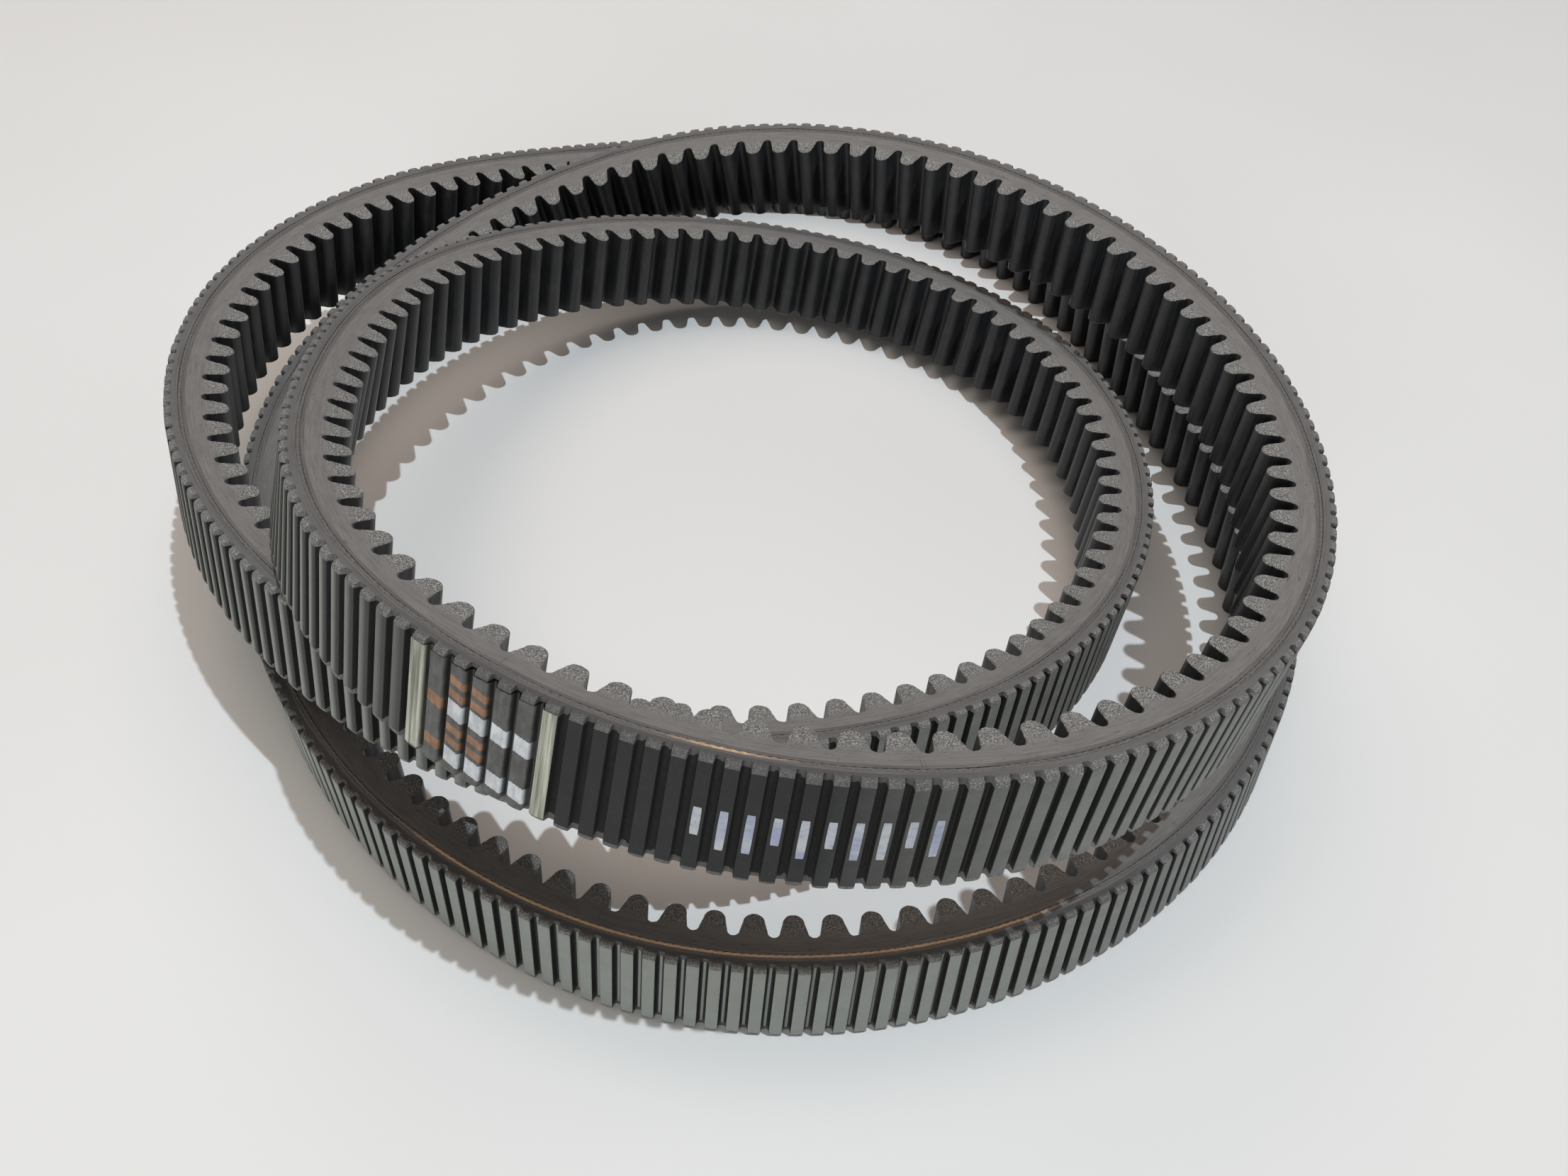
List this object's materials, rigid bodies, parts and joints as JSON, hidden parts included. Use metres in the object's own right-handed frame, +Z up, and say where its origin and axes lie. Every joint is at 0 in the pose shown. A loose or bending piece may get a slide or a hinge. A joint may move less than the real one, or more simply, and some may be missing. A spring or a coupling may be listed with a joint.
{
  "type": "double-cogged variable-speed belt",
  "caption": "Endless wide raw-edge drive belt with deep inner cogs and shallow outer ribs, stored as a loose coil of several laps.",
  "frame": {"origin": "under the middle of the coil's footprint, on the surface that it rests on", "axes": "+Z up, square to the resting surface; +Y away from the side where the label shows"},
  "size_m": [0.4452, 0.4734, 0.1402],
  "materials": {
    "undercord": "semi-matt moulded rubber with short fibres showing on the cut flanks",
    "cushion": "matt cut rubber",
    "cord": "twisted tan polyester cord, partly rubbed black",
    "overcord": "satin moulded rubber, slightly green grey",
    "label": "thin clear film with printed stripes"
  },
  "bodies": {
    "root": {"undercord_rubber": "undercord", "lower_cushion_gum": "cushion", "tensile_cord_ply": "cord", "upper_edge_cord": "cord", "lower_edge_cord": "cord", "upper_cushion_gum": "cushion", "overcord_rubber": "overcord", "transfer_label": "label"}
  },
  "joints": []
}
